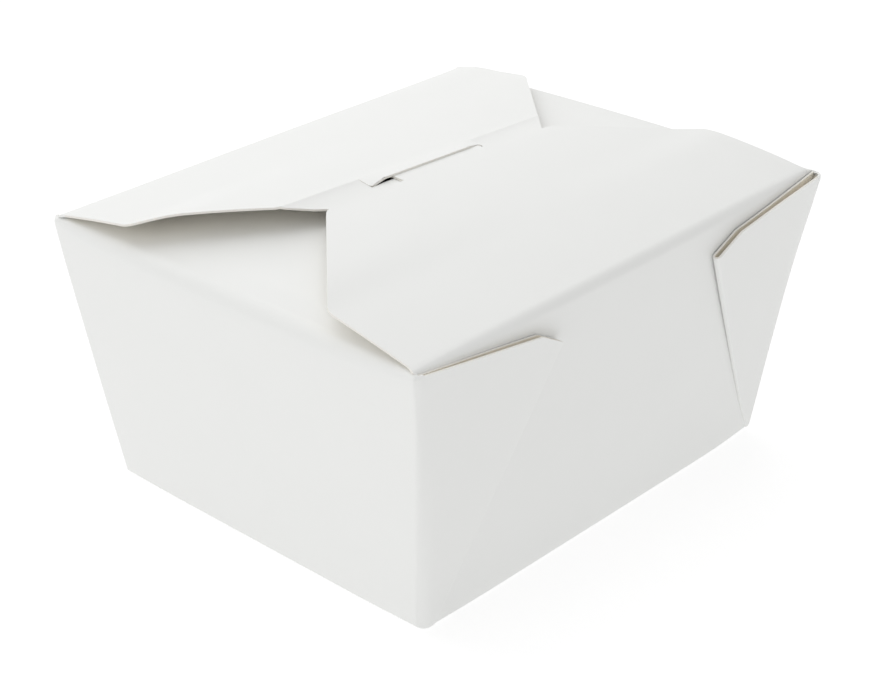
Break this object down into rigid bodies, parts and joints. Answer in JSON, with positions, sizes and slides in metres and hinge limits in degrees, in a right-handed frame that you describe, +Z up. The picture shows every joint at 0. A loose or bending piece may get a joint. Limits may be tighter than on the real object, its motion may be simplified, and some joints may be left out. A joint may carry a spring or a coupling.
{
  "type": "takeout box",
  "caption": "Folded white paperboard takeout box with flared walls, webbed corners and a lid of locking flaps, for carrying hot food.",
  "frame": {"origin": "middle of the underside of the base", "axes": "+Z up, +X along the long walls, the front lid hinges at -Y"},
  "size_m": [0.127, 0.1066, 0.0697],
  "materials": {
    "board": "white coated paperboard, matte to satin, cream at cut edges"
  },
  "bodies": {
    "box": {"carton": "board"},
    "lid": {"front_lid": "board"}
  },
  "joints": [
    {"name": "lid_hinge", "type": "hinge", "parent": "box", "child": "lid", "pos_m": [0, -0.05142, 0.063], "axis": [1, 0, 0], "range_deg": [0, 180]}
  ]
}
